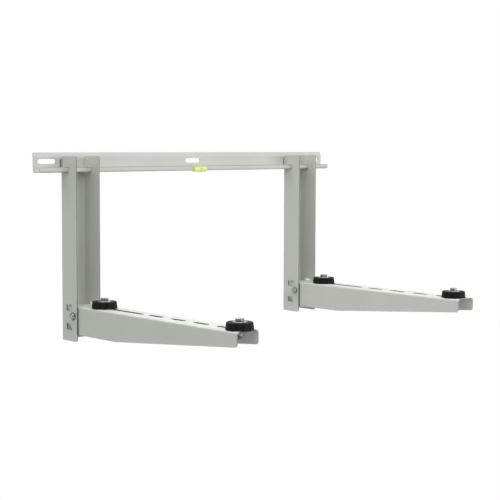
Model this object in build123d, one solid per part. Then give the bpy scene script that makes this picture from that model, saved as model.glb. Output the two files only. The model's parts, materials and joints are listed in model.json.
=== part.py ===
from build123d import *
import math
import os

# Wall bracket for the outdoor unit of an air conditioner. Sizes are in millimetres.
# X runs along the cross rail, +Y points into the wall and +Z points up.
# The origin is the centre of the rail's middle anchor slot, on the back face of its plate.

# Cross rail
rail_length = 800.0
rail_height = 38.0
rail_sheet = 2.0
rail_bend = 1.5            # inside radius of its folds
rail_ledge = 21.5          # from the plate's front face to the lip's front face
rail_lip = 9.7             # height of the lip above the underside of the ledge
rail_wall_gap = 2.5        # from the plate's back face to the wall
rail_lean = 8.5            # height of the top strip that leans back to the wall
rail_corner = 2.0

# Anchor slots in the rail
anchor_length = 41.0
anchor_width = 9.5
anchor_inset = 30.0        # from the rail's end to the centre of the last slot
anchor_count = 3
anchor_above_edge = 21.0   # from the underside of the rail to the slots' centre line

# Windows in the rail for the hooks of the uprights
window_side_gap = 5.0      # free space outside the hook
window_sill_above_lip = 0.2
hook_clearance = 0.3
hook_rise = 3.2            # how far a hook reaches up behind the plate
hook_top_clearance = 0.8   # from a hook's top to the bend of the leaning strip
hook_gap = 0.4             # between a hook and the back of the plate
hook_corner = 0.8

# Uprights
upright_inset = 93.0       # from the rail's end to the middle of an upright
upright_width = 56.0
upright_depth = 49.0
upright_sheet = 2.0
upright_bend = 2.5
upright_below_arm = 13.6   # from the lower edge of the arm's root to the lower end
upright_rise = 31.0        # from the underside of the rail to the upper end
upright_top_corner = 3.0
upright_bottom_corner = 4.0
notch_clearance = 0.5      # in front of the rail's lip
notch_below = 3.5          # under the rail's ledge

# Arms
arm_length = 465.0
arm_setback = 19.0         # from the wall to the arm's rear end
arm_below_rail = 254.4     # from the underside of the rail to the arm's top face
arm_side_clearance = 0.5
arm_sheet = 2.0
arm_bend = 1.8
arm_root_height = 54.0
arm_tip_height = 25.5
arm_taper_start = 144.0    # from the rear end
arm_cut_length = 26.0      # the cut rear lower corner
arm_cut_height = 18.4
arm_tip_corner = 6.0
arm_taper_round = 25.0

# Slots in the top of an arm
slot_side_clearance = 1.0  # on each side of a foot's bolt
long_slot_start = 65.0     # from the arm's rear end
long_slot_length = 129.0
short_slot_length = 37.5
slot_bridge = 22.6         # left between two slots
front_slot_length = 60.0
front_slot_inset = 13.2    # from the arm's tip

# Windows and folded stops in the sides of an upright
stop_window_length = 17.0
stop_window_from_wall = 16.5
stop_tab_gap = 1.0         # on each side of a tab, in its window
upper_stop_play = 1.9      # above the arm's top face
lower_stop_play = 0.95     # below the arm's cut corner
stop_reach = 10.0
stop_bend = 0.8

# Fasteners with 8 mm thread
thread = 8.0
hole_clearance = 1.0
washer_clearance = 0.5
nut_thread_clearance = 0.2
hex_flats = 13.0
head_height = 5.3
nut_height = 6.5
washer_diameter = 16.0
washer_thickness = 1.6
arm_bolt_length = 16.0
arm_bolt_below_top = 19.0
arm_bolt_from_front = 10.0 # from the upright's front edge
foot_bolt_length = 30.0

# Rubber feet
foot_base_diameter = 49.0
foot_top_diameter = 46.0
foot_height = 13.0
foot_edge = 1.5            # chamfer of the rim
foot_recess_depth = 1.0
foot_recess_gap = 1.0      # around the washer
foot_washer_diameter = 26.0
foot_washer_thickness = 2.0
foot_groove_count = 12
foot_groove_depth = 1.4
left_rear_foot = 79.5      # from the arm's rear end
right_rear_foot = 81.3
left_front_foot = 19.1     # from the arm's tip
right_front_foot = 29.7

# Spirit level, pressed over the cut ends of the lip
level_length = 37.0
level_depth = 12.0
level_height = 13.7
level_below_rail = 3.3
level_clearance = 0.2
level_groove = 1.5
level_edge = 0.8
barrel_diameter = 8.4
barrel_length = 29.0
barrel_clearance = 0.1

# Places that follow from the sizes above
rail_bottom = -anchor_above_edge
rail_top = rail_bottom + rail_height
lip_front = -(rail_sheet + rail_ledge)
lip_top = rail_bottom + rail_lip
wall = rail_wall_gap
lean_start = rail_top - rail_lean - rail_sheet * math.sin(math.atan2(rail_wall_gap, rail_lean))
window_bottom = lip_top + window_sill_above_lip
hook_top = lean_start - hook_top_clearance
window_top = hook_top - hook_rise + hook_clearance
upright_x = rail_length / 2 - upright_inset
upright_top = rail_bottom + upright_rise
upright_front = wall - upright_depth
arm_top = rail_bottom - arm_below_rail
arm_rear = wall - arm_setback
arm_tip = arm_rear - arm_length
arm_width = upright_width - 2 * upright_sheet - 2 * arm_side_clearance
arm_bottom = arm_top - arm_root_height
upright_bottom = arm_bottom - upright_below_arm
bolt_y = upright_front + arm_bolt_from_front
bolt_z = arm_top - arm_bolt_below_top
bolt_hole = thread + hole_clearance
slot_width = thread + 2 * slot_side_clearance
sides = {"left": -1, "right": 1}


def side_plane(x):
    # A plane across the rail at x, with Y to the right and Z up
    return Plane(origin=(x, 0, 0), x_dir=(0, 1, 0), z_dir=(1, 0, 0))


def bent_strip(points, radii, sheet, side):
    # The section of a folded sheet whose outer face follows the points
    line = FilletPolyline(*points, radius=radii)
    return make_face(offset(line, sheet, side=side))


def across(sketch, width, x=0.0):
    # A sketch in Y and Z made solid over a width about x
    return extrude(side_plane(x - width / 2) * sketch, width)


def side_window(y, z, length, height, width, x=0.0):
    # A rectangular cutter along X, given by its rear upper corner
    shape = Pos(y - length / 2, z - height / 2) * Rectangle(length, height)
    return across(shape, width, x)


def cross_rail():
    # The plate with its leaning top, the ledge and the turned-up lip
    outer = rail_bend + rail_sheet
    points = [(wall, lean_start + rail_lean), (0, lean_start), (0, rail_bottom), (lip_front, rail_bottom),
              (lip_front, lip_top)]
    profile = bent_strip(points, [outer * 2, outer, outer], rail_sheet, Side.RIGHT)
    rail = across(profile, rail_length)
    top = rail.edges().filter_by_position(Axis.Z, rail_top - rail_sheet, rail_top).group_by(Axis.X)
    rail = fillet(top[0] + top[-1], rail_corner)
    rail -= anchor_slots()
    for side in sides.values():
        for flange in (-1, 1):
            rail -= hook_window(side * upright_x, flange)
    return rail - level_cutout()


def anchor_slots():
    # The slots for the wall anchors, on one line
    pitch = (rail_length - 2 * anchor_inset) / (anchor_count - 1)
    places = GridLocations(pitch, 1, anchor_count, 1)
    slots = Sketch() + [place * SlotOverall(anchor_length, anchor_width) for place in places]
    return extrude(Plane.XZ * slots, rail_sheet + 1, both=True)


def hook_window(centre, flange):
    # The window that a hook of an upright passes through
    inner = upright_width / 2 - upright_sheet - hook_clearance
    outer = upright_width / 2 + window_side_gap
    x = centre + flange * (inner + outer) / 2
    shape = Pos(0, (window_bottom + window_top) / 2) * Rectangle(4 * rail_sheet, window_top - window_bottom)
    return across(shape, outer - inner, x)


def level_cutout():
    # The gap in the lip and the ledge that holds the level, wider behind the lip
    back = lip_front + rail_sheet / 2 + level_depth / 2 + level_clearance
    gap = level_length - 2 * level_groove + 2 * level_clearance
    wide = level_length + 2 * level_clearance
    return level_gap(lip_front - 1, back, gap) + level_gap(lip_front + rail_sheet, back, wide)


def level_gap(front, back, width):
    middle = Pos((front + back) / 2, (rail_bottom + lip_top) / 2)
    return across(middle * Rectangle(back - front, rail_lip + 2), width)


def upright():
    # A channel with its web at the wall, and flat hooked flanges beside the rail
    half = upright_width / 2
    notch_low = rail_bottom - notch_below
    points = [(-half, upright_front), (-half, wall), (half, wall), (half, upright_front)]
    outer = upright_bend + upright_sheet
    profile = bent_strip(points, [outer, outer], upright_sheet, Side.RIGHT)
    body = Pos(0, 0, upright_bottom) * extrude(profile, notch_low - upright_bottom)
    corners = body.edges().filter_by(Axis.X).group_by(Axis.Z)[0].group_by(Axis.Y)[0]
    body = fillet(corners, upright_bottom_corner)
    for side in (-1, 1):
        body += across(hooked_flange(notch_low), upright_sheet, side * (half - upright_sheet / 2))
    return stops(body) - across(Pos(bolt_y, bolt_z) * Circle(bolt_hole / 2), upright_width + 1)


def hooked_flange(notch_low):
    # The flange beside the rail: over the lip, through the plate and up behind it
    plate_front = -rail_sheet - hook_clearance
    neck_top = window_top - hook_clearance
    notch_front = lip_front - notch_clearance
    outline = make_face(Polyline(
        (upright_front, notch_low), (upright_front, upright_top), (plate_front, upright_top),
        (plate_front, neck_top), (hook_gap, neck_top), (hook_gap, hook_top), (wall, hook_top),
        (wall, window_bottom), (notch_front, window_bottom), (notch_front, notch_low), close=True))
    outline = fillet(outline.vertices().group_by(Axis.Y)[-1].sort_by(Axis.X)[0], upright_top_corner)
    return chamfer(outline.vertices().group_by(Axis.X)[-1], hook_corner)


def stops(body):
    # Two windows in each flange, each with a tab folded inwards above or below the arm
    upper = arm_top + upper_stop_play
    reach = arm_setback_to_stop()
    lower = arm_bottom + arm_cut_height * (1 - reach / arm_cut_length) - lower_stop_play
    height = stop_reach + upright_sheet
    for top in (upper, lower + height):
        body -= side_window(wall - stop_window_from_wall, top, stop_window_length, height, upright_width + 1)
    for side in (-1, 1):
        body += folded_stop(side, upper, 1)
        body += folded_stop(side, lower, -1)
    return body


def arm_setback_to_stop():
    # From the arm's rear end to the front edge of a stop
    return stop_window_from_wall + stop_window_length - stop_tab_gap - arm_setback


def folded_stop(side, z, way):
    # A tab folded inwards from a window's edge, in the section across the upright
    half = upright_width / 2
    inner = half - upright_sheet - stop_reach
    outer = stop_bend + upright_sheet
    points = [(side * half, z + way * (outer + 0.5)), (side * half, z), (side * inner, z)]
    turn = Side.RIGHT if side * way > 0 else Side.LEFT
    tab = bent_strip(points, outer, upright_sheet, turn)
    length = stop_window_length - 2 * stop_tab_gap
    rear = wall - stop_window_from_wall - stop_tab_gap
    return extrude(Plane.XZ.offset(-rear) * tab, length)


def arm():
    # An inverted channel with a slotted top and tapered sides
    half = arm_width / 2
    outer = arm_bend + arm_sheet
    points = [(-half, arm_bottom), (-half, arm_top), (half, arm_top), (half, arm_bottom)]
    profile = bent_strip(points, [outer, outer], arm_sheet, Side.RIGHT)
    body = extrude(Plane.XZ.offset(-arm_rear) * profile, arm_length)
    body = body & across(arm_outline(), arm_width + 1)
    for start, length in slot_spans():
        shape = Pos(0, arm_rear - start - length / 2) * Rot(0, 0, 90) * SlotOverall(length, slot_width)
        body -= extrude(Plane.XY.offset(arm_top - arm_sheet - 1) * shape, arm_sheet + 2)
    return body - across(Pos(bolt_y, bolt_z) * Circle(bolt_hole / 2), arm_width + 1)


def arm_outline():
    # The side of the arm: cut rear corner, straight root, taper and rounded tip
    above = arm_top + 1
    outline = make_face(Polyline(
        (arm_rear, above), (arm_rear, arm_bottom + arm_cut_height),
        (arm_rear - arm_cut_length, arm_bottom), (arm_rear - arm_taper_start, arm_bottom),
        (arm_tip, arm_top - arm_tip_height), (arm_tip, above), close=True))
    bend = outline.vertices().group_by(Axis.Y)[0].sort_by(Axis.X)[0]
    outline = fillet(bend, arm_taper_round)
    tip = outline.vertices().group_by(Axis.X)[0].sort_by(Axis.Y)[0]
    return fillet(tip, arm_tip_corner)


def slot_spans():
    # Start and length of every slot in an arm, from its rear end
    front_start = arm_length - front_slot_inset - front_slot_length
    pitch = short_slot_length + slot_bridge
    count = int((front_start - long_slot_start - long_slot_length) // pitch)
    spans = [(long_slot_start, long_slot_length), (front_start, front_slot_length)]
    for i in range(1, count + 1):
        spans.append((front_start - i * pitch, short_slot_length))
    return spans


def hexagon(height):
    # A hexagon across its flats, standing on Z = 0
    return extrude(RegularPolygon(hex_flats / 2, 6, major_radius=False), height)


def bolt(length):
    # The head stands on Z = 0 and the shank hangs below it
    return hexagon(head_height) + Cylinder(thread / 2, length, align=(Align.CENTER, Align.CENTER, Align.MAX))


def nut():
    # Stands on Z = 0
    return hexagon(nut_height) - Cylinder((thread + nut_thread_clearance) / 2, 3 * nut_height)


def washer(outer, thickness):
    # Stands on Z = 0
    ring = Circle(outer / 2) - Circle((thread + washer_clearance) / 2)
    return extrude(ring, thickness)


def rubber_foot():
    # A tapered disc with a grooved side and a recess for its washer, standing on Z = 0
    base = foot_base_diameter / 2
    top = foot_top_diameter / 2
    recess = foot_washer_diameter / 2 + foot_recess_gap
    floor = foot_height - foot_recess_depth
    bore = bolt_hole / 2
    section = make_face(Polyline(
        (bore, 0), (base, 0), (top, foot_height), (recess, foot_height), (recess, floor), (bore, floor),
        close=True))
    rim = section.vertices().group_by(Axis.Y)[-1].sort_by(Axis.X)[-1]
    body = revolve(Plane.XZ * chamfer(rim, foot_edge), Axis.Z)
    lean = math.degrees(math.atan2(base - top, foot_height))
    width = foot_groove_depth * math.sqrt(2)
    groove = Rot(0, -lean, 0) * Rot(0, 0, 45) * Box(width, width, 3 * foot_height)
    for place in PolarLocations(base, foot_groove_count):
        body -= place * groove
    return body


def level_block():
    # A clear block with a barrel hollow and a groove in each end
    low = rail_bottom - level_below_rail
    centre = lip_front + rail_sheet / 2
    block = Box(level_length, level_depth, level_height, align=(Align.CENTER, Align.CENTER, Align.MIN))
    block = fillet(block.edges().filter_by(Axis.X), level_edge)
    block = Pos(0, centre, low) * block
    for side in (-1, 1):
        groove = Box(2 * level_groove, rail_sheet + 2 * level_clearance, 2 * level_height,
                     align=(Align.CENTER, Align.CENTER, Align.MAX))
        block -= Pos(side * level_length / 2, centre, lip_top) * groove
    return block - barrel(barrel_clearance)


def barrel(clearance):
    # The hollow for the fluid, larger all round by the clearance
    shape = Cylinder(barrel_diameter / 2 + clearance, barrel_length + 2 * clearance)
    return level_centre() * Rot(0, 90, 0) * shape


def level_centre():
    return Pos(0, lip_front + rail_sheet / 2, rail_bottom - level_below_rail + level_height / 2)


def level_fluid():
    # The fluid that fills the barrel
    return barrel(0)


def foot_nodes(name, x, y):
    # One rubber foot with its bolt, washers and nut, seated on an arm
    nut_face = arm_top - arm_sheet - washer_thickness
    seat = arm_top + foot_height - foot_recess_depth
    lower_washer = washer(washer_diameter, washer_thickness)
    return {
        "foot_" + name: Pos(x, y, arm_top) * rubber_foot(),
        "foot_washer_" + name: Pos(x, y, seat) * washer(foot_washer_diameter, foot_washer_thickness),
        "foot_bolt_" + name: Pos(x, y, seat + foot_washer_thickness) * bolt(foot_bolt_length),
        "foot_lower_washer_" + name: Pos(x, y, nut_face) * lower_washer,
        "foot_nut_" + name: Pos(x, y, nut_face) * Rot(180, 0, 0) * nut(),
    }


def arm_fasteners(name, x, way):
    # The bolt through one side of an upright and its arm, with a washer and a nut inside the arm
    head = upright_width / 2
    nut_face = arm_width / 2 - arm_sheet - washer_thickness
    axis = Pos(x, bolt_y, bolt_z) * Rot(0, 90 * way, 0)
    return {
        "arm_bolt_" + name: axis * Pos(0, 0, head) * bolt(arm_bolt_length),
        "arm_washer_" + name: axis * Pos(0, 0, nut_face) * washer(washer_diameter, washer_thickness),
        "arm_nut_" + name: axis * Pos(0, 0, nut_face) * Rot(180, 0, 0) * nut(),
    }


def all_nodes():
    nodes = {"cross_rail": cross_rail(), "level_block": level_block(), "level_fluid": level_fluid()}
    one_upright = upright()
    one_arm = arm()
    for name, side in sides.items():
        x = side * upright_x
        nodes["upright_" + name] = Pos(x, 0, 0) * one_upright
        nodes["arm_" + name] = Pos(x, 0, 0) * one_arm
        for flange, way in (("outer", side), ("inner", -side)):
            nodes.update(arm_fasteners(name + "_" + flange, x, way))
    left, right = -upright_x, upright_x
    nodes.update(foot_nodes("left_rear", left, arm_rear - left_rear_foot))
    nodes.update(foot_nodes("right_rear", right, arm_rear - right_rear_foot))
    nodes.update(foot_nodes("left_front", left, arm_tip + left_front_foot))
    nodes.update(foot_nodes("right_front", right, arm_tip + right_front_foot))
    return nodes


if __name__ == "__main__":
    os.makedirs("parts", exist_ok=True)
    for node, solid in all_nodes().items():
        export_step(solid, "parts/" + node + ".step")
        print(node, "written")
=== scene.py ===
import json
import math

import bmesh
import bpy
from mathutils import Matrix, Vector


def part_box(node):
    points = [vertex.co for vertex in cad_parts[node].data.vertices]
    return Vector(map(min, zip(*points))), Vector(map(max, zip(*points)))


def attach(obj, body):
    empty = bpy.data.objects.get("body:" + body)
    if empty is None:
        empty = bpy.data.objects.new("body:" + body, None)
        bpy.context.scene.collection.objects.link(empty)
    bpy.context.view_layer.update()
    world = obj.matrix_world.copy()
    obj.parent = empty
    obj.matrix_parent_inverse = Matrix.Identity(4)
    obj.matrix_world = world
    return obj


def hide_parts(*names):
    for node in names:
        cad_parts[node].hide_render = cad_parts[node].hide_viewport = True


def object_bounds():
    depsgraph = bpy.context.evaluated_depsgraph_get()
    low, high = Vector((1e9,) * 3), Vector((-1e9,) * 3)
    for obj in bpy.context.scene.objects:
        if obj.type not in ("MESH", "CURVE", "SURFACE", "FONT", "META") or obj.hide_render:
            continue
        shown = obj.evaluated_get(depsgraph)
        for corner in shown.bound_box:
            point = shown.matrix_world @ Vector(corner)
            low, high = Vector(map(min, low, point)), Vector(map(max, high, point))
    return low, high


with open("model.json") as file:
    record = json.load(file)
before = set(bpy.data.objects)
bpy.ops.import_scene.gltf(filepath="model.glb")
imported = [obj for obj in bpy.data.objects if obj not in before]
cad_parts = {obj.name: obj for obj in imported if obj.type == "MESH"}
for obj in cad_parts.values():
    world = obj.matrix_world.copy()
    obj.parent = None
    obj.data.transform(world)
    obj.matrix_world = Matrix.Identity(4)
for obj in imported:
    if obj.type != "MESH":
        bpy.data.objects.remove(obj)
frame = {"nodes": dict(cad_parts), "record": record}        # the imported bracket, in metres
nodes = frame["nodes"]
cadBox = [list(corner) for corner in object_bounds()]
mm = 0.001
print("frame:", len(nodes), "pieces")


# Helpers for colours, nodes and patterns

def toLinear(hexColour):
    channels = [int(hexColour[i:i + 2], 16) / 255 for i in (1, 3, 5)]
    return tuple(c / 12.92 if c <= 0.04045 else ((c + 0.055) / 1.055) ** 2.4
                 for c in channels) + (1.0,)


def addNode(tree, kind, feeds=None, **settings):
    node = tree.nodes.new(kind)
    for name, value in settings.items():
        setattr(node, name, value)
    for socket, source in (feeds or {}).items():
        if isinstance(source, bpy.types.NodeSocket):
            tree.links.new(source, node.inputs[socket])
        else:
            node.inputs[socket].default_value = source
    return node


def newMaterial(name):
    material = bpy.data.materials.new(name)
    material.use_nodes = True
    material.node_tree.nodes.clear()
    return material, material.node_tree


def perMm(size):
    return 1 / (size * mm)     # a noise scale whose features are this many millimetres apart


noiseRange = {"From Min": 0.3, "From Max": 0.7}     # nearly all values of a noise lie in here


# Powder-coated steel: sprayed polyester, baked, with a fine orange peel and a soft satin gloss

powderCoat = {
    # Of these tones, the cut-face one also paints shade under the rail's bend, and the last is
    # painted shade at the joints and on the slot walls
    "colour": "#d2d4cd", "shade": "#cbcdc6", "edge": "#dcded9", "cutAndShaded": "#868783",
    "paintedShadeTone": "#585955",
    "roughness": 0.46, "roughnessSpread": 0.06, "ior": 1.5,
    "peelMm": 2.4, "peelDepthMm": 0.01,       # near 1 mm in truth, coarser here so that it shows
    "cloudMm": 90,                            # slow changes of the sprayed layer
    "speckMm": 0.9, "speckTone": (0.975, 1.02),      # powder grains, coarser so that they show
    "edgeMm": 0.5, "edgeTurn": (0.99, 0.8), "edgeShare": 0.6,     # a paler line along edges
}

# Darker tones, with ranges of place in mm: the sheets' cut faces, and painted shade under the
# rail's bend; the axis is the one that the sheet's broad side faces; "away" is the distance from
# the middle plane of an upright
cutAndShadedPlaces = [
    ({"away": (25.95, 28.05), "Y": (-50, -4)}, "X"),      # the uprights' sides
    ({"away": (23.45, 25.55), "Y": (-500, -10), "Z": (-350, -279.5)}, "X"),    # the arms' sides
    ({"Y": (-23.6, -21.4), "Z": (-12.0, -11.0)}, "X"),    # the top of the rail's lip: its cut face and a narrow band of its front
    ({"Y": (-23.6, -14), "Z": (-21.2, -20.3)}, "X"),      # painted shade on the underside of the rail's bend
]
uprightAt = 307.0
cutFacing = 0.5         # a cut face has less than this of its normal along the sheet's axis
# Painted shade where an arm leaves its upright, darker towards the gap at the flange's front edge
jointShade = {"away": (25.2, 25.8), "Y": (-49.7, -45.9)}      # where an arm leaves its upright
jointShadeFade = 2.0
# The walls of the arms' slots: cut faces, darkened further as painted shade
slotWallShade = {"away": (-20, 20), "Y": (-500, -10), "Z": (-277.45, -275.35)}    # the arms' slots


def insideRanges(tree, spot, away, ranges):
    share = None
    for axis, (low, high) in ranges.items():
        value = away if axis == "away" else spot.outputs[axis]
        part = addNode(tree, "ShaderNodeMath", {
            0: value, 1: (low + high) / 2 * mm, 2: (high - low) / 2 * mm}, operation="COMPARE")
        share = part if share is None else addNode(
            tree, "ShaderNodeMath", {0: share.outputs[0], 1: part.outputs[0]},
            operation="MULTIPLY")
    return share


def cutAndShadedMasks(tree, place, normal):
    # Two masks: the sheets' cut faces with the painted shade under the rail's bend, and painted
    # shade at the joints and on the walls of the arms' slots
    spot = addNode(tree, "ShaderNodeSeparateXYZ", {0: place})
    facing = addNode(tree, "ShaderNodeSeparateXYZ", {0: addNode(
        tree, "ShaderNodeVectorMath", {0: normal}, operation="ABSOLUTE").outputs[0]})
    side = addNode(tree, "ShaderNodeMath", {0: spot.outputs["X"]}, operation="ABSOLUTE")
    away = addNode(tree, "ShaderNodeMath", {0: side.outputs[0], 1: uprightAt * mm},
                   operation="SUBTRACT")
    away = addNode(tree, "ShaderNodeMath", {0: away.outputs[0]}, operation="ABSOLUTE").outputs[0]

    def facesOffAxis(ranges, axis):
        inside = insideRanges(tree, spot, away, ranges)
        thin = addNode(tree, "ShaderNodeMath", {0: facing.outputs[axis], 1: cutFacing},
                       operation="LESS_THAN")
        return addNode(tree, "ShaderNodeMath", {0: inside.outputs[0], 1: thin.outputs[0]},
                       operation="MULTIPLY")

    cutAndShaded = None
    for ranges, axis in cutAndShadedPlaces:
        faces = facesOffAxis(ranges, axis)
        cutAndShaded = faces if cutAndShaded is None else addNode(
            tree, "ShaderNodeMath", {0: cutAndShaded.outputs[0], 1: faces.outputs[0]},
            operation="MAXIMUM")
    # Painted shade: it fades in towards the upright, and the slot walls join it
    start = jointShade["Y"][0]
    fade = addNode(tree, "ShaderNodeMapRange", {
        "Value": spot.outputs["Y"], "From Min": start * mm, "From Max": (start + jointShadeFade) * mm})
    paintedShade = insideRanges(tree, spot, away, jointShade)
    paintedShade = addNode(tree, "ShaderNodeMath", {0: paintedShade.outputs[0], 1: fade.outputs[0]},
                    operation="MULTIPLY")
    paintedShade = addNode(tree, "ShaderNodeMath", {
        0: paintedShade.outputs[0], 1: facesOffAxis(slotWallShade, "Z").outputs[0]}, operation="MAXIMUM")
    return cutAndShaded, paintedShade


def makePowderCoat(name, look):
    material, tree = newMaterial(name)
    place = addNode(tree, "ShaderNodeTexCoord").outputs["Object"]
    cloud = addNode(tree, "ShaderNodeTexNoise", {
        "Vector": place, "Scale": perMm(look["cloudMm"]), "Detail": 2.0})
    peel = addNode(tree, "ShaderNodeTexNoise", {
        "Vector": place, "Scale": perMm(look["peelMm"]), "Detail": 1.5, "Roughness": 0.4})
    speck = addNode(tree, "ShaderNodeTexNoise", {
        "Vector": place, "Scale": perMm(look["speckMm"]), "Detail": 3.0})
    tone = addNode(tree, "ShaderNodeMix", {
        "Factor": cloud.outputs["Fac"], 6: toLinear(look["colour"]), 7: toLinear(look["shade"])},
        data_type="RGBA")
    grain = addNode(tree, "ShaderNodeMapRange", {
        "Value": speck.outputs["Fac"], **noiseRange,
        "To Min": look["speckTone"][0], "To Max": look["speckTone"][1]})
    mottled = addNode(tree, "ShaderNodeVectorMath", {
        0: tone.outputs[2], "Scale": grain.outputs[0]}, operation="SCALE")
    softNormal = addNode(tree, "ShaderNodeBevel", {"Radius": look["edgeMm"] * mm}, samples=4)
    sharpNormal = addNode(tree, "ShaderNodeNewGeometry").outputs["Normal"]
    turn = addNode(tree, "ShaderNodeVectorMath", {0: softNormal.outputs[0], 1: sharpNormal},
                   operation="DOT_PRODUCT")
    edge = addNode(tree, "ShaderNodeMapRange", {
        "Value": turn.outputs["Value"], "From Min": look["edgeTurn"][0],
        "From Max": look["edgeTurn"][1], "To Min": 0.0, "To Max": look["edgeShare"]})
    worn = addNode(tree, "ShaderNodeMix", {
        "Factor": edge.outputs[0], 6: mottled.outputs[0], 7: toLinear(look["edge"])},
        data_type="RGBA")
    gloss = addNode(tree, "ShaderNodeMapRange", {
        "Value": cloud.outputs["Fac"], **noiseRange,
        "To Min": look["roughness"] - look["roughnessSpread"],
        "To Max": look["roughness"] + look["roughnessSpread"]})
    # Darker tones: cut faces with painted shade under the rail's bend, then painted shade at the
    # joints and on the slot walls
    cutAndShaded, paintedShade = cutAndShadedMasks(tree, place, sharpNormal)
    finish = addNode(tree, "ShaderNodeMix", {
        "Factor": cutAndShaded.outputs[0], 6: worn.outputs[2], 7: toLinear(look["cutAndShaded"])},
        data_type="RGBA")
    finish = addNode(tree, "ShaderNodeMix", {
        "Factor": paintedShade.outputs[0], 6: finish.outputs[2], 7: toLinear(look["paintedShadeTone"])},
        data_type="RGBA")
    bump = addNode(tree, "ShaderNodeBump", {
        "Height": peel.outputs["Fac"], "Normal": softNormal.outputs[0], "Strength": 1.0,
        "Distance": look["peelDepthMm"] * mm})
    shader = addNode(tree, "ShaderNodeBsdfPrincipled", {
        "Base Color": finish.outputs[2], "Roughness": gloss.outputs[0],
        "Normal": bump.outputs[0], "IOR": look["ior"]})
    addNode(tree, "ShaderNodeOutputMaterial", {"Surface": shader.outputs[0]})
    return material


# Powder-coated steel in a darker tone, which is painted shade on the hook spurs seen through
# the rail's windows

spurShadeLook = {**powderCoat, "colour": "#7e7f79", "shade": "#787973", "edge": "#8a8b86"}


# Zinc-plated steel: bright electroplate with a faint blue passivation, slightly cloudy

zincPlate = {
    "colour": "#aaadab", "tint": "#646867", "roughness": 0.26, "roughnessSpread": 0.08,
    "cloudMm": 4.5, "cloudPatch": (0.32, 0.68),      # blotches of the passivation
    "grainMm": 0.5, "grainDepthMm": 0.006,           # marks of the cold forming under it
}

# Zinc-plated steel with painted reflections: the sides are painted darker, as a reflection of
# dark surroundings, under a crown painted brighter, as a reflection of the light above

zincWithPaintedLight = {
    **zincPlate, "colour": "#828687", "tint": "#4c5052", "crown": "#a4a8a6",
    "crownFacing": (0.5, 0.9),
}


def makeZincPlate(name, look):
    material, tree = newMaterial(name)
    place = addNode(tree, "ShaderNodeTexCoord").outputs["Object"]
    cloud = addNode(tree, "ShaderNodeTexNoise", {
        "Vector": place, "Scale": perMm(look["cloudMm"]), "Detail": 3.0})
    grain = addNode(tree, "ShaderNodeTexNoise", {
        "Vector": place, "Scale": perMm(look["grainMm"]), "Detail": 2.0})
    patch = addNode(tree, "ShaderNodeMapRange", {
        "Value": cloud.outputs["Fac"], "From Min": look["cloudPatch"][0],
        "From Max": look["cloudPatch"][1]})
    tone = addNode(tree, "ShaderNodeMix", {
        "Factor": patch.outputs[0], 6: toLinear(look["colour"]), 7: toLinear(look["tint"])},
        data_type="RGBA")
    # Painted reflection: faces turned up take the brighter crown tone, standing for the light
    # above
    if "crown" in look:
        facing = addNode(tree, "ShaderNodeSeparateXYZ", {
            0: addNode(tree, "ShaderNodeNewGeometry").outputs["Normal"]})
        paintedTopLight = addNode(tree, "ShaderNodeMapRange", {
            "Value": facing.outputs["Z"], "From Min": look["crownFacing"][0],
            "From Max": look["crownFacing"][1]})
        tone = addNode(tree, "ShaderNodeMix", {
            "Factor": paintedTopLight.outputs[0], 6: tone.outputs[2], 7: toLinear(look["crown"])},
            data_type="RGBA")
    gloss = addNode(tree, "ShaderNodeMapRange", {
        "Value": cloud.outputs["Fac"], **noiseRange,
        "To Min": look["roughness"] - look["roughnessSpread"],
        "To Max": look["roughness"] + look["roughnessSpread"]})
    bump = addNode(tree, "ShaderNodeBump", {
        "Height": grain.outputs["Fac"], "Strength": 1.0, "Distance": look["grainDepthMm"] * mm})
    shader = addNode(tree, "ShaderNodeBsdfPrincipled", {
        "Base Color": tone.outputs[2], "Metallic": 1.0, "Roughness": gloss.outputs[0],
        "Normal": bump.outputs[0]})
    addNode(tree, "ShaderNodeOutputMaterial", {"Surface": shader.outputs[0]})
    return material


# Black rubber: compression-moulded, matt, with a fine pebbled skin and a little dust

blackRubber = {
    "colour": "#060707", "roughness": 0.55, "roughnessSpread": 0.1, "ior": 1.52, "gloss": 0.12,
    "dust": "#0f0f0e", "cloudMm": 12, "dustFrom": (0.5, 0.8), "dustMost": 0.7,
    "skinMm": 1.1, "skinDepthMm": 0.05,      # the pebbled face of the mould
}


def makeRubber(name, look):
    material, tree = newMaterial(name)
    place = addNode(tree, "ShaderNodeTexCoord").outputs["Object"]
    cloud = addNode(tree, "ShaderNodeTexNoise", {
        "Vector": place, "Scale": perMm(look["cloudMm"]), "Detail": 4.0})
    skin = addNode(tree, "ShaderNodeTexNoise", {
        "Vector": place, "Scale": perMm(look["skinMm"]), "Detail": 2.0})
    dust = addNode(tree, "ShaderNodeMapRange", {
        "Value": cloud.outputs["Fac"], "From Min": look["dustFrom"][0],
        "From Max": look["dustFrom"][1], "To Min": 0.0, "To Max": look["dustMost"]})
    tone = addNode(tree, "ShaderNodeMix", {
        "Factor": dust.outputs[0], 6: toLinear(look["colour"]), 7: toLinear(look["dust"])},
        data_type="RGBA")
    gloss = addNode(tree, "ShaderNodeMapRange", {
        "Value": cloud.outputs["Fac"], **noiseRange,
        "To Min": look["roughness"] - look["roughnessSpread"],
        "To Max": look["roughness"] + look["roughnessSpread"]})
    bump = addNode(tree, "ShaderNodeBump", {
        "Height": skin.outputs["Fac"], "Strength": 1.0, "Distance": look["skinDepthMm"] * mm})
    shader = addNode(tree, "ShaderNodeBsdfPrincipled", {
        "Base Color": tone.outputs[2], "Roughness": gloss.outputs[0], "Normal": bump.outputs[0],
        "IOR": look["ior"], "Specular IOR Level": look["gloss"]})
    addNode(tree, "ShaderNodeOutputMaterial", {"Surface": shader.outputs[0]})
    return material


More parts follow.
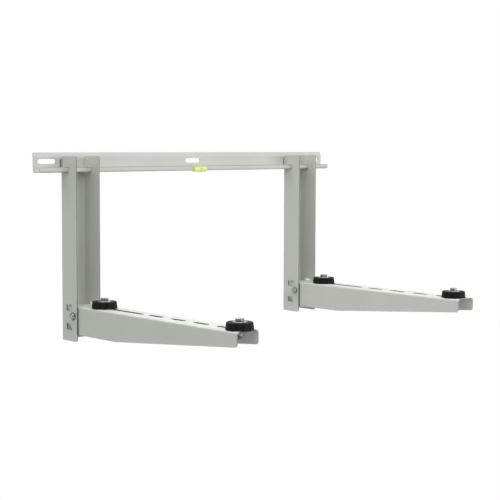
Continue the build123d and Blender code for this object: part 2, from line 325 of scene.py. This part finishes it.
# Clear acrylic of the level: cast and polished. Its colour is painted light: bands that stand for
# the light its round vial gathers from the dyed liquid behind it, painted pale at the foot,
# yellow-green with a painted bright band in the middle, and olive near the top. The bands go from
# the low height to the high one, both in mm, and the ring is the line round its waist

castAcrylic = {
    "bands": {0.0: "#fcfef0", 0.12: "#f6fcc4", 0.3: "#eaf994", 0.5: "#eefe8a", 0.66: "#faffae",
              0.8: "#d8e484", 0.9: "#96a056", 1.0: "#b8be90"},
    "low": -24.3, "high": -10.6, "ring": "#ccdc70", "ringHalf": 0.9,
    "roughness": 0.3, "ior": 1.49, "transmission": 0.06, "hazeMm": 6, "hazeShare": (0.6, 1.6),
}

# The level's liquid: dyed spirit, clear, with no surface grain of its own

dyedLiquid = {
    "bands": {0.0: "#e0f45c", 1.0: "#d0e84c"},
    "low": -22, "high": -13, "ring": "#b7cf38", "ringHalf": 0.5,
    "roughness": 0.03, "ior": 1.33, "transmission": 0.45, "hazeMm": 6, "hazeShare": (0.6, 1.6),
}


def makeClear(name, look):
    material, tree = newMaterial(name)
    place = addNode(tree, "ShaderNodeTexCoord").outputs["Object"]
    spot = addNode(tree, "ShaderNodeSeparateXYZ", {0: place})
    haze = addNode(tree, "ShaderNodeTexNoise", {
        "Vector": place, "Scale": perMm(look["hazeMm"]), "Detail": 2.0})
    climb = addNode(tree, "ShaderNodeMapRange", {
        "Value": spot.outputs["Z"], "From Min": look["low"] * mm, "From Max": look["high"] * mm})
    # The colours by height: painted light on the acrylic, the dye's own tone in the liquid
    bands = addNode(tree, "ShaderNodeValToRGB", {"Fac": climb.outputs[0]})
    ramp = bands.color_ramp
    for i, (at, colour) in enumerate(look["bands"].items()):
        stop = ramp.elements[i] if i < 2 else ramp.elements.new(at)     # a new ramp has two
        stop.position, stop.color = at, toLinear(colour)
    ring = addNode(tree, "ShaderNodeMath", {
        0: spot.outputs["X"], 1: 0.0, 2: look["ringHalf"] * mm}, operation="COMPARE")
    tone = addNode(tree, "ShaderNodeMix", {
        "Factor": ring.outputs[0], 6: bands.outputs[0], 7: toLinear(look["ring"])},
        data_type="RGBA")
    gloss = addNode(tree, "ShaderNodeMapRange", {
        "Value": haze.outputs["Fac"], **noiseRange,
        "To Min": look["roughness"] * look["hazeShare"][0],
        "To Max": look["roughness"] * look["hazeShare"][1]})
    shader = addNode(tree, "ShaderNodeBsdfPrincipled", {
        "Base Color": tone.outputs[2], "Roughness": gloss.outputs[0],
        "IOR": look["ior"], "Transmission Weight": look["transmission"]})
    addNode(tree, "ShaderNodeOutputMaterial", {"Surface": shader.outputs[0]})
    return material


materials = {
    "powder_coated_steel": makePowderCoat("powderCoatedSteel", powderCoat),
    "zinc_plated_steel": makeZincPlate("zincPlatedSteel", zincPlate),
    "black_rubber": makeRubber("mouldedBlackRubber", blackRubber),
    "clear_acrylic": makeClear("castAcrylic", castAcrylic),
    "level_fluid": makeClear("dyedLiquid", dyedLiquid),
}
# The hook spurs' coat, in a darker tone that is painted shade
spurShadeCoat = makePowderCoat("steelWithPaintedShade", spurShadeLook)
# The foot bolts take the zinc with painted reflections
footBoltPaintedZinc = makeZincPlate("zincPlatedSteelPaintedLight", zincWithPaintedLight)
print("materials are made")


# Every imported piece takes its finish, and the sheets keep the shape that the frame gives them

for part in frame["record"]["subparts"]:
    node = nodes[part["node"]]
    node.data.materials.clear()
    node.data.materials.append(materials[part["material_slot"]])
print("finishes are on the packed pieces")


# Mesh helpers: profiles are in millimetres, places in metres

mergeDistance = 1e-7      # metres
sharpAngle = 30           # degrees; the faces of a flatter edge are shaded as one


def boxOf(node):
    low, high = (Vector(corner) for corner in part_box(node))
    return low, (low + high) / 2, high


def turnedForm(bm, place, profile, steps, shape=None, closed=False):
    # A profile of (radius, height) turned about the Z axis of its place
    rings = []
    for i in range(steps):
        turn = 2 * math.pi * i / steps
        ring = []
        for radius, height in profile:
            r = shape(turn, radius) if shape else radius
            ring.append(bm.verts.new(place @ Vector((
                r * math.cos(turn) * mm, r * math.sin(turn) * mm, height * mm))))
        rings.append(ring)
    spans = len(profile) if closed else len(profile) - 1
    for i in range(steps):
        here, there = rings[i], rings[(i + 1) % steps]
        for j in range(spans):
            k = (j + 1) % len(profile)
            bm.faces.new((here[j], there[j], there[k], here[k]))


def newPiece(name, bm, slot, *replaced, material=None):
    bmesh.ops.remove_doubles(bm, verts=bm.verts, dist=mergeDistance)
    bmesh.ops.recalc_face_normals(bm, faces=bm.faces)
    mesh = bpy.data.meshes.new(name)
    bm.to_mesh(mesh)
    bm.free()
    mesh.shade_smooth()
    mesh.set_sharp_from_angle(angle=math.radians(sharpAngle))
    mesh.materials.append(material or materials[slot])
    piece = bpy.data.objects.new(name, mesh)
    bpy.context.scene.collection.objects.link(piece)
    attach(piece, "root")
    if replaced:
        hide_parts(*replaced)


# Rubber feet: moulded discs with a fluted side, a rounded rim and a recess for the washer

foot = {
    "base": 24.5, "top": 23.0, "height": 13.0, "bore": 4.5, "around": 360,
    "soleInset": 1.6, "toe": 0.5, "toeInset": 0.05, "toeSteps": 4,
    "sideInset": 0.22, "sideSteps": 15, "rim": 1.6, "rimInset": 3.0, "rimSteps": 8,
    "recess": 14.0, "recessDepth": 1.0, "seat": 9.0,
    "recessEdge": ((0.9, 0.0), (0.4, 0.1), (0.05, 0.4)),      # out from the recess, down
    "flutes": 12, "fluteDepth": 1.4, "fluteHalf": 1.7, "fluteFrom": 18, "fluteRound": 0.8,
    "partingHeight": 6.4, "parting": 0.22, "partingHalf": 0.35,
}


def footProfile():
    f = foot
    slope = (f["base"] - f["top"]) / f["height"]
    floor = f["height"] - f["recessDepth"]
    points = [(f["bore"], 0.0), (f["base"] - f["soleInset"], 0.0)]
    for i in range(f["toeSteps"] + 1):      # the rounded toe
        a = math.pi / 2 * i / f["toeSteps"]
        points.append((f["base"] - f["toe"] - f["toeInset"] + f["toe"] * math.sin(a),
                       f["toe"] * (1 - math.cos(a))))
    low, high = f["toe"], f["height"] - f["rim"]
    for i in range(1, f["sideSteps"]):
        z = low + (high - low) * i / f["sideSteps"]
        ridge = f["parting"] * math.exp(-((z - f["partingHeight"]) / f["partingHalf"]) ** 2)
        points.append((f["base"] - slope * z - f["sideInset"] + ridge, z))
    edge = f["base"] - slope * high - f["sideInset"]
    for i in range(f["rimSteps"] + 1):      # the rounded rim
        a = math.pi / 2 * i / f["rimSteps"]
        points.append((edge - f["rim"] + f["rim"] * math.cos(a), high + f["rim"] * math.sin(a)))
    points.append((edge - f["rimInset"], f["height"]))
    points += [(f["recess"] + out, f["height"] - down) for out, down in f["recessEdge"]]
    return points + [(f["recess"], floor), (f["seat"], floor), (f["bore"], floor)]


def fluted(turn, radius):
    f = foot
    if radius < f["fluteFrom"]:
        return radius
    pitch = 2 * math.pi / f["flutes"]
    across = abs((turn + pitch / 2) % pitch - pitch / 2) * radius
    if across >= f["fluteHalf"]:
        return radius
    share = math.cos(across / f["fluteHalf"] * math.pi / 2)
    return radius - f["fluteDepth"] * share ** f["fluteRound"]


def makeFoot(name):
    low, middle, _ = boxOf("foot_" + name)
    place = Matrix.Translation((middle.x, middle.y, low.z))
    bm = bmesh.new()
    turnedForm(bm, place, footProfile(), foot["around"], fluted, closed=True)
    newPiece("rubberFoot_" + name, bm, "black_rubber", "foot_" + name)


# Hexagon bolts and nuts with 8 mm thread: cold-formed, with turned-off corners and rolled thread

hexagon = {
    "flats": 13.0, "head": 5.3, "nut": 6.5, "around": 72,
    "face": 6.1, "faceRise": 0.3, "corner": 7.6, "cornerRise": 0.32,      # under the head
    "crown": 6.15, "crownDrop": 0.02, "crownInset": 0.5,                  # on top of it
    "cornerFall": 1.73, "cornerRises": (0.85, 0.7, 0.55, 0.4, 0.25, 0.1, 0.0),
    "bore": 4.12, "boreEase": 0.5,
}
thread = {
    "radius": 4.0, "core": 3.3, "coreAround": 32, "pitch": 1.25, "perTurn": 20, "runOut": 2.0,
    "tip": 0.8, "tipEase": 0.7, "rootInset": 0.1, "rootHalf": 0.56, "crestHalf": 0.1,
}
boltLengths = {"foot": 30.0, "arm": 16.0}       # under the head


def hexagonal(turn, radius):
    if radius <= hexagon["face"]:
        return radius
    sector = math.pi / 3
    away = abs((turn + sector / 2) % sector - sector / 2)
    return min(radius, hexagon["flats"] / 2 / math.cos(sector / 2 - away))


def cornerPoints(height):
    # The turned-off corners of a hexagon, up to its crown at this height
    h = hexagon
    return [(h["crown"] + rise * h["cornerFall"], height - rise) for rise in h["cornerRises"]]


def hexHead(bm, place):
    h = hexagon
    top = h["head"] - h["crownDrop"]
    profile = [(0, 0), (h["face"], 0), (h["face"], h["faceRise"]), (h["corner"], h["cornerRise"])]
    profile += cornerPoints(h["head"]) + [(h["crown"] - h["crownInset"], top), (0, top)]
    turnedForm(bm, place, profile, h["around"], hexagonal)


def threadedShank(bm, place, length):
    # A plain core with a rolled ridge that climbs round it
    t = thread
    core, root, tip = t["core"], t["core"] - t["rootInset"], t["tip"] - length
    turnedForm(bm, place, [(0, 0), (core, 0), (core, tip), (core - t["tipEase"], -length),
                           (0, -length)], t["coreAround"])
    count = int((length - t["runOut"]) / t["pitch"] * t["perTurn"])
    rings = []
    for i in range(count + 1):
        turn = 2 * math.pi * i / t["perTurn"]
        height = tip + t["pitch"] * i / t["perTurn"]
        full = min(1, i / t["perTurn"], (count - i) / t["perTurn"])     # it fades in and out
        crest = core + (t["radius"] - core) * full
        section = [(root, -t["rootHalf"]), (crest, -t["crestHalf"]), (crest, t["crestHalf"]),
                   (root, t["rootHalf"])]
        rings.append([bm.verts.new(place @ Vector((
            r * math.cos(turn) * mm, r * math.sin(turn) * mm, (height + h) * mm)))
            for r, h in section])
    for here, there in zip(rings, rings[1:]):
        for j in range(4):
            k = (j + 1) % 4
            bm.faces.new((here[j], here[k], there[k], there[j]))
    bm.faces.new(rings[0])
    bm.faces.new(rings[-1])


def makeBolt(name, place, length, material=None):
    bm = bmesh.new()
    hexHead(bm, place)
    threadedShank(bm, place, length)
    newPiece("zincBolt_" + name, bm, "zinc_plated_steel", name, material=material)


def makeNut(name, place):
    h = hexagon
    eased = h["bore"] + h["boreEase"]
    corners = cornerPoints(h["nut"])
    profile = [(h["bore"], h["boreEase"]), (eased, 0)]
    profile += [(r, h["nut"] - z) for r, z in reversed(corners)] + corners
    profile += [(eased, h["nut"]), (h["bore"], h["nut"] - h["boreEase"])]
    bm = bmesh.new()
    turnedForm(bm, place, profile, h["around"], hexagonal, closed=True)
    newPiece("zincNut_" + name, bm, "zinc_plated_steel", name)


# Washers: stamped, so the upper edges are rolled over more than the lower ones

washer = {
    "bore": 4.25, "ease": 0.22, "around": 96,
    "lower": 0.3, "upper": 1.6, "upperMiddle": 0.5, "upperBore": 1.5,     # shares of the ease
    "large": (13.0, 2.0), "small": (8.0, 1.6),      # radius and thickness
}


def makeWasher(name, place, size):
    bore, soft = washer["bore"], washer["ease"]
    radius, thickness = washer[size]
    lower, upper, middle, inner = (soft * washer[share] for share in (
        "lower", "upper", "upperMiddle", "upperBore"))
    profile = [(bore, soft), (bore + soft, 0), (radius - soft, 0), (radius - lower, lower),
               (radius, soft), (radius, thickness - upper), (radius - middle, thickness - middle),
               (radius - upper, thickness), (bore + inner, thickness), (bore, thickness - inner)]
    bm = bmesh.new()
    turnedForm(bm, place, profile, washer["around"], closed=True)
    newPiece("zincWasher_" + name, bm, "zinc_plated_steel", name)


def axisMatrix(point, direction):
    turn = Vector(direction).to_track_quat("Z", "Y").to_matrix().to_4x4()
    return Matrix.Translation(point) @ turn


# How far each hexagon is turned, in degrees: they stand as they were left when tightened
footTurns = {"left_front": 12, "left_rear": 31, "right_front": 49, "right_rear": 8}
armTurns = {1: 17, -1: 41}          # for bolts whose heads look right and left


def makeFootFasteners(name, degrees):
    spin = Matrix.Rotation(math.radians(degrees), 4, "Z")
    _, middle, high = boxOf("foot_bolt_" + name)
    seat = Vector((middle.x, middle.y, high.z - hexagon["head"] * mm))
    # This bolt's zinc has painted reflections
    makeBolt("foot_bolt_" + name, Matrix.Translation(seat) @ spin, boltLengths["foot"],
             footBoltPaintedZinc)
    low, middle, _ = boxOf("foot_washer_" + name)
    place = Matrix.Translation((middle.x, middle.y, low.z))
    makeWasher("foot_washer_" + name, place, "large")
    _, middle, high = boxOf("foot_lower_washer_" + name)
    place = axisMatrix((middle.x, middle.y, high.z), (0, 0, -1))
    makeWasher("foot_lower_washer_" + name, place, "small")
    low, middle, _ = boxOf("foot_nut_" + name)
    makeNut("foot_nut_" + name, Matrix.Translation((middle.x, middle.y, low.z)) @ spin)


def makeArmFasteners(name, way):
    def outerEnd(node):
        low, middle, high = boxOf(node)
        return Vector((high.x if way > 0 else low.x, middle.y, middle.z))

    spin = Matrix.Rotation(math.radians(armTurns[way]), 4, "Z")
    end = outerEnd("arm_bolt_" + name)
    seat = Vector((end.x - way * hexagon["head"] * mm, end.y, end.z))
    makeBolt("arm_bolt_" + name, axisMatrix(seat, (way, 0, 0)) @ spin, boltLengths["arm"])
    place = axisMatrix(outerEnd("arm_washer_" + name), (-way, 0, 0))
    makeWasher("arm_washer_" + name, place, "small")
    place = axisMatrix(outerEnd("arm_nut_" + name), (-way, 0, 0))
    makeNut("arm_nut_" + name, place @ spin)


sides = {"left": -1, "right": 1}

for name, degrees in footTurns.items():
    makeFoot(name)
    makeFootFasteners(name, degrees)
for side, sign in sides.items():
    makeArmFasteners(side + "_outer", sign)
    makeArmFasteners(side + "_inner", -sign)
print("feet and fasteners")


# The level: a clear body with rounded ends and a waist, the dyed liquid in it and its bubble

level = {
    "half": 18.5, "halfDeep": 6.0, "halfTall": 6.85, "square": 2.6, "around": 64,
    "end": 3.6, "endSteps": 6, "waistHalf": 1.4, "waistDepth": 0.16,
    "stations": (12.0, 8.0, 4.0, 2.4, 2.0, 1.6, 1.2, 0.8, 0.4),       # out from the middle
    "fluidRadius": 4.2, "fluidHalf": 14.5, "fluidAround": 48,
    "dome": 0.6, "domeAngles": (0.4, 0.8, 1.2, 1.57),
    "bubbleHalf": 4.6, "bubbleRadius": 2.1, "bubbleAlong": 1.5, "bubbleGap": 0.1,
    "bubbleSteps": 20, "bubbleAround": 32,
}


def levelSize(x):
    # Share of the full section at this distance along the level
    f = level
    share = 1.0
    past = abs(x) - (f["half"] - f["end"])
    if past > 0:
        across = math.sqrt(max(0.0, 1 - (past / f["end"]) ** 2))
        share -= f["end"] / f["halfDeep"] * (1 - across)
    if abs(x) < f["waistHalf"] * 2:
        share -= f["waistDepth"] * math.cos(math.pi / 4 * abs(x) / f["waistHalf"]) ** 2
    return share


def rounded(value):
    # One side of the body's section, between a circle's and a square's
    return math.copysign(abs(value) ** (2 / level["square"]), value)


def makeLevelBody():
    f = level
    _, middle, _ = boxOf("level_block")
    steps, around = f["endSteps"], f["around"]
    stations = [-f["half"] + f["end"] * (1 - math.cos(math.pi / 2 * i / steps))
                for i in range(steps + 1)]
    stations += [-x for x in f["stations"]]
    stations = stations + [0.0] + [-x for x in reversed(stations)]
    bm = bmesh.new()
    rings = []
    for x in stations:
        ring, share = [], levelSize(x)
        for i in range(around):
            a = 2 * math.pi * i / around
            y = rounded(math.cos(a)) * f["halfDeep"] * share
            z = rounded(math.sin(a)) * f["halfTall"] * share
            ring.append(bm.verts.new(middle + Vector((x, y, z)) * mm))
        rings.append(ring)
    for here, there in zip(rings, rings[1:]):
        for i in range(around):
            k = (i + 1) % around
            bm.faces.new((here[i], here[k], there[k], there[i]))
    bm.faces.new(rings[0])
    bm.faces.new(rings[-1])
    newPiece("levelBody", bm, "clear_acrylic", "level_block")


def makeLevelFluid():
    f = level
    _, middle, _ = boxOf("level_fluid")
    along = Matrix.Rotation(math.radians(90), 4, "Y")
    end = [(0, -f["fluidHalf"])]
    end += [(f["fluidRadius"] * math.sin(a), -f["fluidHalf"] + f["dome"] * (1 - math.cos(a)))
            for a in f["domeAngles"]]
    profile = end + [(r, -z) for r, z in reversed(end)]
    bm = bmesh.new()
    turnedForm(bm, Matrix.Translation(middle) @ along, profile, f["fluidAround"])
    newPiece("levelFluid", bm, "level_fluid", "level_fluid")

    rise = f["fluidRadius"] - f["bubbleRadius"] - f["bubbleGap"]
    place = Matrix.Translation(middle + Vector((f["bubbleAlong"], 0, rise)) * mm) @ along
    arc = [math.pi * i / f["bubbleSteps"] for i in range(f["bubbleSteps"] + 1)]
    profile = [(f["bubbleRadius"] * math.sin(a), -f["bubbleHalf"] * math.cos(a)) for a in arc]
    bm = bmesh.new()
    turnedForm(bm, place, profile, f["bubbleAround"])
    newPiece("levelBubble", bm, "level_fluid")


makeLevelBody()
makeLevelFluid()
print("level")


# Folded sheet that closes each upright under the rail, and the spurs of its hooks, which are
# seen through the rail's windows

neck = {
    "half": 28.0, "sheet": 2.0, "bend": 4.5, "front": -24.0, "wall": 2.5, "low": -24.6,
    "high": -21.15,
}
spur = {"root": -0.5, "reach": 6.5, "back": 2.4, "front": 1.3, "low": -11.6, "high": 4.0,
        "corner": 1.2}


def prism(bm, place, points, low, high):
    # A flat outline in X and Y of its place, with a thickness along Z
    rings = [[bm.verts.new(place @ Vector((x * mm, y * mm, z * mm))) for x, y in points]
             for z in (low, high)]
    bm.faces.new(rings[0])
    bm.faces.new(rings[1])
    for i in range(len(points)):
        k = (i + 1) % len(points)
        bm.faces.new((rings[0][i], rings[0][k], rings[1][k], rings[1][i]))


def arcPoints(x, y, radius, start, end, steps=6):
    angles = [math.radians(start + (end - start) * i / steps) for i in range(steps + 1)]
    return [(x + radius * math.cos(a), y + radius * math.sin(a)) for a in angles]


def makeNeck(side):
    f = neck
    _, middle, _ = boxOf("upright_" + side)
    half, inner, bend = f["half"], f["half"] - f["sheet"], f["bend"]
    tight, corner, wall = bend - f["sheet"], half - bend, f["wall"] - bend
    outline = [(-half, f["front"])] + arcPoints(-corner, wall, bend, 180, 90)
    outline += arcPoints(corner, wall, bend, 90, 0) + [(half, f["front"])]
    outline += [(inner, f["front"])] + arcPoints(corner, wall, tight, 0, 90)
    outline += arcPoints(-corner, wall, tight, 90, 180) + [(-inner, f["front"])]
    bm = bmesh.new()
    prism(bm, Matrix.Translation((middle.x, 0, 0)), outline, f["low"], f["high"])
    newPiece("sheetNeck_" + side, bm, "powder_coated_steel")


def makeSpur(side, flange, way):
    s = spur
    _, middle, _ = boxOf("upright_" + side)
    outline = [(s["root"], s["low"])]
    outline += arcPoints(s["reach"] - s["corner"], s["low"] + s["corner"], s["corner"], -90, 0)
    outline += arcPoints(s["reach"] - s["corner"], s["high"] - s["corner"], s["corner"], 0, 90)
    outline = [(way * x, z) for x, z in outline + [(s["root"], s["high"])]]
    place = Matrix.Translation((middle.x + way * neck["half"] * mm, 0, 0))
    place = place @ Matrix.Rotation(math.radians(90), 4, "X")
    bm = bmesh.new()
    prism(bm, place, outline, -s["back"], -s["front"])
    # The spur's darker coat is painted shade
    newPiece("hookSpur_" + side + "_" + flange, bm, "powder_coated_steel", material=spurShadeCoat)


for side, sign in sides.items():
    makeNeck(side)
    makeSpur(side, "outer", sign)
    makeSpur(side, "inner", -sign)
print("necks and hook spurs")


# Camera at the photograph's place

cameraSet = {
    "place": (-1.6916, -1.8939, 0.0297), "yaw": 44.525, "pitch": 3.742, "roll": 0.161,
    "focalPixels": 1203.35, "centreRow": 224.98, "imageSize": 500,
    "sensor": 36, "clipStart": 0.05,
}


def makeCamera():
    look = cameraSet
    yaw, pitch = math.radians(look["yaw"]), math.radians(look["pitch"])
    forward = Vector((math.sin(yaw) * math.cos(pitch), math.cos(yaw) * math.cos(pitch),
                      -math.sin(pitch)))
    turn = forward.to_track_quat("-Z", "Y").to_matrix().to_4x4()
    camera = bpy.data.objects.new("camera", bpy.data.cameras.new("camera"))
    bpy.context.scene.collection.objects.link(camera)
    camera.matrix_world = (Matrix.Translation(look["place"]) @ turn
                           @ Matrix.Rotation(math.radians(look["roll"]), 4, "Z"))
    camera.data.sensor_width = look["sensor"]
    camera.data.lens = look["focalPixels"] / look["imageSize"] * look["sensor"]
    camera.data.shift_y = look["centreRow"] / look["imageSize"] - 0.5
    camera.data.clip_start = look["clipStart"]
    bpy.context.scene.camera = camera


makeCamera()
print("camera")


# Studio: big soft lights above, a ring of weaker soft boxes round the front, pale surroundings

studio = {
    "behind": 0.8,       # strength of the surroundings straight behind the wall side
    "ring": {-80: (28, 28), -45: (28, 19), 0: (36, 38), 40: (8, 39)},    # right: (up, watts)
    "ringDistance": 3.2, "ringSize": 2.4,
    "above": {(0.0, 0.8, 2.5): 56, (0.1, -0.6, 2.6): 18}, "aboveSize": 2.4,     # place: watts
    "aim": (0, -0.2, -0.15),
}
floorLook = {
    "centre": (0, -0.2), "drop": 0.95, "radius": 1.5, "edges": 128,
    "colour": "#f2f2f0", "roughness": 0.9, "lift": 0.35,       # its glow for the camera alone
}


def makeWorld():
    world = bpy.data.worlds.new("studioWhite")
    bpy.context.scene.world = world
    world.use_nodes = True
    tree = world.node_tree
    tree.nodes.clear()
    # Seen straight, in metal or through the level it is white; it lights with the gradient
    path = addNode(tree, "ShaderNodeLightPath")
    seen = addNode(tree, "ShaderNodeMath", {
        0: path.outputs["Is Camera Ray"], 1: path.outputs["Is Glossy Ray"]}, operation="MAXIMUM")
    seen = addNode(tree, "ShaderNodeMath", {
        0: seen.outputs[0], 1: path.outputs["Is Transmission Ray"]}, operation="MAXIMUM")
    way = addNode(tree, "ShaderNodeSeparateXYZ", {
        0: addNode(tree, "ShaderNodeTexCoord").outputs["Generated"]})
    light = addNode(tree, "ShaderNodeMapRange", {
        "Value": way.outputs["Y"], "To Max": studio["behind"]})
    strength = addNode(tree, "ShaderNodeMix", {
        "Factor": seen.outputs[0], 2: light.outputs[0], 3: 1.0})
    back = addNode(tree, "ShaderNodeBackground", {
        "Color": (1, 1, 1, 1), "Strength": strength.outputs[0]})
    addNode(tree, "ShaderNodeOutputWorld", {"Surface": back.outputs[0]})


def softBox(name, place, size, watts):
    data = bpy.data.lights.new(name, "AREA")
    data.shape, data.size, data.energy = "SQUARE", size, watts
    lamp = bpy.data.objects.new(name, data)
    bpy.context.scene.collection.objects.link(lamp)
    lamp.location = place
    lamp.rotation_mode = "QUATERNION"
    lamp.rotation_quaternion = (Vector(studio["aim"]) - Vector(place)).to_track_quat("-Z", "Y")


def makeLamps():
    for degrees, (up, watts) in studio["ring"].items():
        turn, rise = math.radians(degrees), math.radians(up)
        way = Vector((math.sin(turn) * math.cos(rise), -math.cos(turn) * math.cos(rise),
                      math.sin(rise)))
        place = Vector(studio["aim"]) + way * studio["ringDistance"]
        softBox("ringLight", place, studio["ringSize"], watts)
    for place, watts in studio["above"].items():
        softBox("topLight", place, studio["aboveSize"], watts)


def makeFloor():
    look = floorLook
    bpy.ops.mesh.primitive_circle_add(
        vertices=look["edges"], radius=look["radius"], fill_type="NGON",
        location=(*look["centre"], cadBox[0][2] - look["drop"]))
    floor = bpy.context.object
    floor.name = "floor"
    material, tree = newMaterial("paleFloor")
    path = addNode(tree, "ShaderNodeLightPath")
    glow = addNode(tree, "ShaderNodeMath", {
        0: path.outputs["Is Camera Ray"], 1: look["lift"]}, operation="MULTIPLY")
    shader = addNode(tree, "ShaderNodeBsdfPrincipled", {
        "Base Color": toLinear(look["colour"]), "Roughness": look["roughness"],
        "Emission Color": (1, 1, 1, 1), "Emission Strength": glow.outputs[0]})
    addNode(tree, "ShaderNodeOutputMaterial", {"Surface": shader.outputs[0]})
    floor.data.materials.append(material)


makeWorld()
makeLamps()
makeFloor()
bpy.context.scene.view_settings.view_transform = "Standard"
print("studio")
